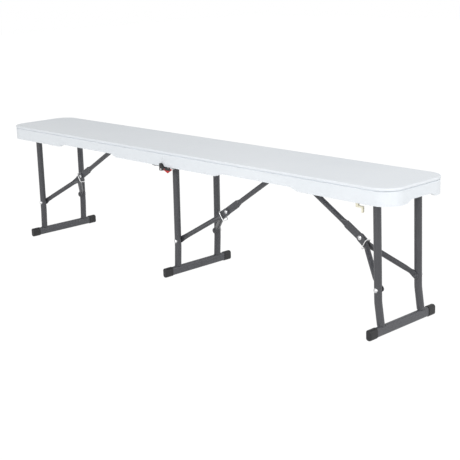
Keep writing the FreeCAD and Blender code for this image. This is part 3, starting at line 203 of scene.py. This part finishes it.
def coat_nodes(material, *names):
    """Give CAD nodes a material in every slot they have."""
    for name in names:
        mesh = NODES[name].data
        if mesh.materials:
            for i in range(len(mesh.materials)):
                mesh.materials[i] = material
        else:
            mesh.materials.append(material)


def new_piece(name, mesh_maker, material, body):
    """Make a mesh object that rides on a body and takes a slot's finish."""
    mesh = bpy.data.meshes.new(name)
    bm = bmesh.new()
    mesh_maker(bm)
    bmesh.ops.recalc_face_normals(bm, faces=bm.faces)
    for face in bm.faces:
        face.smooth = True
    bm.to_mesh(mesh)
    bm.free()
    mesh.materials.append(material)
    piece = bpy.data.objects.new(name, mesh)
    bpy.context.scene.collection.objects.link(piece)
    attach(piece, body)
    return piece


def nearest_shift(near, far):
    """How far to turn the next ring of a bead so that it joins without a twist."""
    def reach(shift):
        return sum((near[k].co - far[(k + shift) % BEAD_SIDES].co).length_squared
                   for k in range(BEAD_SIDES))

    return min(range(BEAD_SIDES), key=reach)


def sweep_bead(bm, path, radius, pitch, closed=False):
    """A weld bead along a path: a small tube whose radius swells once per pitch."""
    rings = []
    run = 0.0
    count = len(path)
    for i, spot in enumerate(path):
        before = path[i - 1] if i or closed else spot
        after = path[(i + 1) % count] if i < count - 1 or closed else spot
        ahead = (after - before).normalized()
        if i:
            run += (spot - path[i - 1]).length
        side = ahead.orthogonal().normalized()
        up = ahead.cross(side)
        swell = radius * (BEAD_BASE + BEAD_SWELL * abs(math.sin(math.pi * run / pitch)))
        if not closed and i in (0, count - 1):
            swell *= BEAD_END
        rings.append([bm.verts.new(spot + (side * math.cos(a) + up * math.sin(a)) * swell)
                      for a in (2 * math.pi * k / BEAD_SIDES for k in range(BEAD_SIDES))])
    pairs = list(zip(rings, rings[1:])) + ([(rings[-1], rings[0])] if closed else [])
    for near, far in pairs:
        shift = nearest_shift(near, far)
        for k in range(BEAD_SIDES):
            bm.faces.new((near[k], near[(k + 1) % BEAD_SIDES],
                          far[(k + 1 + shift) % BEAD_SIDES], far[(k + shift) % BEAD_SIDES]))
    if not closed:
        bm.faces.new(rings[0])
        bm.faces.new(list(reversed(rings[-1])))


class BenchPlastics(bpy.types.PropertyGroup):
    """Moulded parts."""

    seat: FloatVectorProperty(
        name="Seat", description="Colour of the moulded seat", subtype="COLOR", size=3,
        min=0, max=1, default=(0.795, 0.828, 0.860))
    seat_shade: FloatVectorProperty(
        name="Seat shade", description="Its slightly darker patches", subtype="COLOR", size=3,
        min=0, max=1, default=(0.762, 0.798, 0.834))
    grain: FloatProperty(
        name="Grain", description="Height of the moulded grain", subtype="DISTANCE",
        default=0.00005, min=0, precision=6)
    cap: FloatVectorProperty(
        name="Foot caps", description="Colour of the foot caps and lock housing",
        subtype="COLOR", size=3, min=0, max=1, default=(0.008, 0.008, 0.009))
    lever: FloatVectorProperty(
        name="Lever", description="Colour of the lock's lever", subtype="COLOR", size=3,
        min=0, max=1, default=(0.50, 0.012, 0.010))
    clip: FloatVectorProperty(
        name="Leg clip", description="Colour of the clip under the seat", subtype="COLOR", size=3,
        min=0, max=1, default=(0.80, 0.76, 0.60))


class BenchMetals(bpy.types.PropertyGroup):
    """Tubes, sheet and wire."""

    paint: FloatVectorProperty(
        name="Powder coat", description="Colour of the leg frames and braces",
        subtype="COLOR", size=3, min=0, max=1, default=(0.059, 0.060, 0.067))
    peel: FloatProperty(
        name="Peel", description="Height of the coat's fine ripple", subtype="DISTANCE",
        default=0.00006, min=0, precision=6)
    wire: FloatVectorProperty(
        name="Lock rings", description="Colour of the plated wire", subtype="COLOR", size=3,
        min=0, max=1, default=(0.86, 0.86, 0.86))
    rivet: FloatVectorProperty(
        name="Rivets", description="Colour of rivets, pins and screws", subtype="COLOR", size=3,
        min=0, max=1, default=(0.70, 0.70, 0.71))
    weld: FloatProperty(
        name="Weld bead", description="Radius of the weld beads", subtype="DISTANCE",
        default=0.0015, min=0.0002, precision=4)


class BenchStudio(bpy.types.PropertyGroup):
    """Floor, light and camera."""

    floor_size: FloatProperty(
        name="Floor", description="Side of the floor", subtype="DISTANCE", default=24.0, min=1)
    sky: FloatProperty(
        name="Sky", description="Strength of the even light", default=0.60, min=0)
    key: FloatProperty(
        name="Key", description="Power of the large soft lamp in front",
        subtype="POWER", default=128.0, min=0)
    side: FloatProperty(
        name="Side", description="Power of the soft lamp beyond the right end",
        subtype="POWER", default=57.6, min=0)
    top: FloatProperty(
        name="Top", description="Power of the soft lamp above the right end",
        subtype="POWER", default=8.0, min=0)
    lens: FloatProperty(
        name="Lens", description="Focal length of the camera in millimetres",
        default=78.0, min=10)


class BENCH_OT_seat(bpy.types.Operator):
    """Finish both moulded seat halves"""

    bl_idname = "bench.seat"
    bl_label = "Seat halves"

    def execute(self, context):
        look = context.scene.bench_plastics
        finish = Finish("moulded seat plastic")
        patches = finish.between(finish.noise(scale=2.2, detail=3.0), low=0.35, high=0.65)
        colour = finish.mix(patches, rgba(look.seat_shade), rgba(look.seat))
        pebbles = finish.cells(scale=620.0) * PEBBLE_SHARE
        specks = finish.noise(scale=1500.0) * (1.0 - PEBBLE_SHARE)
        waves = finish.noise(scale=9.0, detail=1.0)
        material = finish.set(
            base_color=colour,
            roughness=0.46 + 0.12 * finish.noise(scale=35.0, detail=4.0),
            normal=finish.bump(pebbles + specks + WAVE_GAIN * waves, look.grain, strength=0.6))
        finish.surface.inputs["Specular IOR Level"].default_value = SEAT_SPECULAR
        coat_nodes(material, "seat_left", "seat_right")
        return {"FINISHED"}


def powder_coat(context, name, gain=1.0, ripple=1.0):
    """Dark grey powder coat with its fine ripple and rubbed edges."""
    look = context.scene.bench_metals
    finish = Finish(name)
    clouds = finish.between(finish.noise(scale=14.0, detail=4.0), low=0.3, high=0.7)
    coat = finish.mix(
        clouds, rgba(look.paint, COAT_DARK * gain), rgba(look.paint, COAT_LIGHT * gain))
    rubbed = finish.worn() * finish.noise(scale=120.0, detail=3.0)
    colour = finish.mix(rubbed * RUB_SHARE, coat, rgba(look.paint, COAT_RUBBED * gain))
    peel = finish.noise(scale=900.0) + FINE_PEEL_SHARE * finish.noise(scale=2600.0, detail=1.0)
    return finish.set(
        base_color=colour,
        roughness=0.34 + 0.14 * finish.noise(scale=60.0, detail=3.0),
        normal=finish.bump(peel, look.peel * ripple, strength=0.7))


class BENCH_OT_frames(bpy.types.Operator):
    """Finish the leg frames, braces and their sheet metal"""

    bl_idname = "bench.frames"
    bl_label = "Leg frames and braces"

    def execute(self, context):
        coat = powder_coat(context, "powder coat")
        sheet = powder_coat(context, "sheet coat", gain=0.8, ripple=0.7)
        for leg in LEGS:
            coat_nodes(coat, *(leg + "_" + tube for tube in TUBES))
            coat_nodes(sheet, *(leg + "_" + plate for plate in SHEETS))
        coat_nodes(sheet, "brace_anchor_left", "brace_anchor_right",
                   *(name for name in NODES if name.startswith("hinge_leaf")))
        return {"FINISHED"}


def plated(name, colour, roughness):
    """Zinc plated steel with faint drawing lines and dull patches."""
    finish = Finish(name)
    dull = finish.noise(scale=180.0, detail=3.0)
    shade = finish.mix(dull, rgba(colour, PLATE_DULL), rgba(colour, PLATE_BRIGHT))
    return finish.set(
        base_color=shade, metallic=1.0, roughness=roughness + 0.16 * dull,
        normal=finish.bump(finish.noise(scale=3000.0), DRAWING_DEPTH, strength=0.5))


class BENCH_OT_hardware(bpy.types.Operator):
    """Finish the lock rings, rivets, pins and hinge pins"""

    bl_idname = "bench.hardware"
    bl_label = "Rings, rivets and pins"

    def execute(self, context):
        look = context.scene.bench_metals
        wire = plated("plated wire", look.wire, roughness=0.2)
        steel = plated("plated steel", look.rivet, roughness=0.36)
        for leg in LEGS:
            coat_nodes(wire, leg + "_lock_ring")
            coat_nodes(steel, *(leg + "_" + piece for piece in PLATED))
        coat_nodes(steel, "hinge_pin_front", "hinge_pin_back",
                   "screws_left_half", "screws_right_half")
        return {"FINISHED"}


def moulded(name, colour, roughness, grain):
    """Small moulded parts: even colour, fine spark-eroded grain."""
    finish = Finish(name)
    tone = finish.mix(finish.noise(scale=90.0, detail=3.0),
                      rgba(colour, MOULD_DARK), rgba(colour, MOULD_LIGHT))
    return finish.set(
        base_color=tone,
        roughness=roughness + 0.12 * finish.noise(scale=300.0, detail=3.0),
        normal=finish.bump(finish.noise(scale=2200.0), grain, strength=0.7))


class BENCH_OT_mouldings(bpy.types.Operator):
    """Finish the foot caps, lock, lever and leg clip"""

    bl_idname = "bench.mouldings"
    bl_label = "Caps, lock and clip"

    def execute(self, context):
        look = context.scene.bench_plastics
        black = moulded("black moulding", look.cap, roughness=0.42, grain=0.00005)
        red = moulded("red moulding", look.lever, roughness=0.3, grain=0.00002)
        cream = moulded("cream moulding", look.clip, roughness=0.45, grain=0.00004)
        coat_nodes(black, "lock_housing", *(name for name in NODES if "foot_cap" in name))
        coat_nodes(red, "lock_lever")
        coat_nodes(cream, "leg_clip")
        return {"FINISHED"}


class BENCH_OT_welds(bpy.types.Operator):
    """Lay weld beads where the uprights meet the floor tubes and the cross bars"""

    bl_idname = "bench.welds"
    bl_label = "Welds"

    leg_radius: FloatProperty(name="Upright", subtype="DISTANCE", default=0.011)
    bar_radius: FloatProperty(name="Cross bar", subtype="DISTANCE", default=0.008)
    foot_round: FloatProperty(name="Foot rounding", subtype="DISTANCE", default=0.006)

    def foot_arc(self, foot, spot_y, side):
        """The upright's edge on the rounded top of the floor tube, towards one side."""
        low, high = foot
        middle = (low.x + high.x) / 2
        half = (high.x - low.x) / 2
        path = []
        for k in range(-ARC_STEPS, ARC_STEPS + 1):
            x = k / ARC_STEPS * (half - ARC_INSET)
            over = max(0.0, abs(x) - (half - self.foot_round))
            drop = self.foot_round - math.sqrt(self.foot_round ** 2 - over ** 2)
            y = spot_y + side * math.sqrt(self.leg_radius ** 2 - x ** 2)
            path.append(Vector((middle + x, y, high.z - drop)))
        return path

    def bar_ring(self, pivot, spot_y, side):
        """The saddle curve of the cross bar through one wall of an upright."""
        path = []
        for k in range(RING_POINTS):
            a = 2 * math.pi * k / RING_POINTS
            x, z = self.bar_radius * math.cos(a), self.bar_radius * math.sin(a)
            y = spot_y + side * math.sqrt(self.leg_radius ** 2 - x ** 2)
            path.append(Vector((pivot[0] + x, y, pivot[2] + z)))
        return path

    def lay(self, bm, leg, weld):
        """Lay one leg frame's beads, on both sides of both uprights."""
        foot = [Vector(corner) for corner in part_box(leg + "_leg_foot_bar")]
        pivot = JOINTS[leg + "_leg_fold"]["pos_m"]
        low, high = (Vector(corner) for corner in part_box(leg + "_leg_upright_front"))
        spacing = abs(low.y + high.y) / 2
        for spot_y in (-spacing, spacing):
            for side in (-1, 1):
                sweep_bead(bm, self.foot_arc(foot, spot_y, side), weld, weld * FOOT_PITCH)
                sweep_bead(bm, self.bar_ring(pivot, spot_y, side),
                           weld * BAR_BEAD, weld * BAR_PITCH, closed=True)

    def execute(self, context):
        coat = powder_coat(context, "weld coat", gain=0.9, ripple=2.5)
        weld = context.scene.bench_metals.weld
        for leg in LEGS:
            new_piece(leg + "_leg_welds", partial(self.lay, leg=leg, weld=weld),
                      coat, leg + "_leg")
        return {"FINISHED"}


class BENCH_OT_studio(bpy.types.Operator):
    """Set up the floor, the even light, the soft lamps and the camera"""

    bl_idname = "bench.studio"
    bl_label = "Studio"

    def execute(self, context):
        scene = context.scene
        look = scene.bench_studio
        scene.view_settings.view_transform = "Standard"
        self.floor(look)
        self.sky(scene, look)
        for name, setting, size, place, target in LAMPS:
            self.lamp(scene, name, getattr(look, setting), size, place, target)
        self.camera(scene, look)
        return {"FINISHED"}

    def floor(self, look):
        """A plain pale floor that the camera sees as white."""
        half = look.floor_size / 2
        mesh = bpy.data.meshes.new("studio floor")
        corners = ((-half, -half), (half, -half), (half, half), (-half, half))
        mesh.from_pydata([(x, y, -FLOOR_DROP) for x, y in corners], [], [(0, 1, 2, 3)])
        ground = bpy.data.objects.new("studio floor", mesh)
        bpy.context.scene.collection.objects.link(ground)
        finish = Finish("studio floor")
        matt = finish.set(base_color=rgba((FLOOR_GREY,) * 3), roughness=0.9)
        rays = finish.node("ShaderNodeLightPath", output="Is Camera Ray")
        glossy = finish.node("ShaderNodeLightPath", output="Is Glossy Ray")
        white = finish.node(
            "ShaderNodeEmission", None, {"Color": rgba((1, 1, 1)), "Strength": FLOOR_GLOW})
        seen = rays.maths("MAXIMUM", rays, glossy) * FLOOR_GLOW_SHARE
        output = finish.tree.nodes["Material Output"]
        both = finish.node("ShaderNodeMixShader", None, {0: seen, 2: white})
        finish.tree.links.new(finish.surface.outputs[0], both.socket.node.inputs[1])
        finish.tree.links.new(both.socket, output.inputs["Surface"])
        mesh.materials.append(matt)

    def sky(self, scene, look):
        """Even light all round, which the camera and mirrors see as white."""
        world = bpy.data.worlds.new("studio")
        scene.world = world
        world.use_nodes = True
        nodes, links = world.node_tree.nodes, world.node_tree.links
        back = nodes["Background"]
        back.inputs["Color"].default_value = (1, 1, 1, 1)
        rays = nodes.new("ShaderNodeLightPath")
        seen = nodes.new("ShaderNodeMath")
        seen.operation = "MAXIMUM"
        links.new(rays.outputs["Is Camera Ray"], seen.inputs[0])
        links.new(rays.outputs["Is Glossy Ray"], seen.inputs[1])
        level = nodes.new("ShaderNodeMix")
        level.inputs[2].default_value = look.sky
        level.inputs[3].default_value = 1.0
        links.new(seen.outputs[0], level.inputs[0])
        links.new(level.outputs[0], back.inputs["Strength"])

    def lamp(self, scene, name, power, size, place, target):
        """A rectangular soft lamp at a place, turned to a target."""
        data = bpy.data.lights.new(name, "AREA")
        data.shape = "RECTANGLE"
        data.size, data.size_y = size
        data.energy = power
        lamp = bpy.data.objects.new(name, data)
        lamp.location = place
        aim = Vector(target) - lamp.location
        lamp.rotation_euler = aim.to_track_quat("-Z", "Y").to_euler()
        scene.collection.objects.link(lamp)

    def camera(self, scene, look):
        """The camera, turned by yaw, then pitch, then roll."""
        data = bpy.data.cameras.new("camera")
        data.sensor_fit = "HORIZONTAL"
        data.sensor_width = SENSOR_WIDTH
        data.lens = look.lens
        data.shift_x, data.shift_y = CAMERA_SHIFT
        data.clip_end = VIEW_DEPTH
        camera = bpy.data.objects.new("camera", data)
        level = math.cos(CAMERA_PITCH)
        ahead = Vector((-math.sin(CAMERA_YAW) * level, math.cos(CAMERA_YAW) * level,
                        -math.sin(CAMERA_PITCH)))
        side = ahead.cross(Vector((0, 0, 1))).normalized()
        up = side.cross(ahead)
        rolled = side * math.cos(CAMERA_ROLL) + up * math.sin(CAMERA_ROLL)
        raised = up * math.cos(CAMERA_ROLL) - side * math.sin(CAMERA_ROLL)
        turn = Matrix((rolled, raised, -ahead)).transposed()
        camera.matrix_world = Matrix.Translation(CAMERA_PLACE) @ turn.to_4x4()
        scene.collection.objects.link(camera)
        scene.camera = camera


STEPS = (BENCH_OT_seat, BENCH_OT_frames, BENCH_OT_hardware, BENCH_OT_mouldings, BENCH_OT_welds,
         BENCH_OT_studio)
SETTINGS = {"bench_plastics": BenchPlastics, "bench_metals": BenchMetals,
            "bench_studio": BenchStudio}


class BENCH_PT_panel(bpy.types.Panel):
    """Lists the bench's steps"""

    bl_idname = "BENCH_PT_panel"
    bl_label = "Folding Bench"
    bl_space_type = "VIEW_3D"
    bl_region_type = "UI"
    bl_category = "Bench"

    def draw(self, context):
        for step in STEPS:
            self.layout.operator(step.bl_idname)
        for group in SETTINGS:
            settings = getattr(context.scene, group)
            for key in settings.__annotations__:
                self.layout.prop(settings, key)


CLASSES = tuple(SETTINGS.values()) + STEPS + (BENCH_PT_panel,)


def register():
    for kind in CLASSES:
        bpy.utils.register_class(kind)
    for group, kind in SETTINGS.items():
        setattr(bpy.types.Scene, group, PointerProperty(type=kind))


def unregister():
    for group in SETTINGS:
        delattr(bpy.types.Scene, group)
    for kind in reversed(CLASSES):
        bpy.utils.unregister_class(kind)


def main():
    """Register the tools and dress the bench."""
    register()
    for step in STEPS:
        group, name = step.bl_idname.split(".")
        getattr(getattr(bpy.ops, group), name)()


if __name__ == "__main__":
    main()
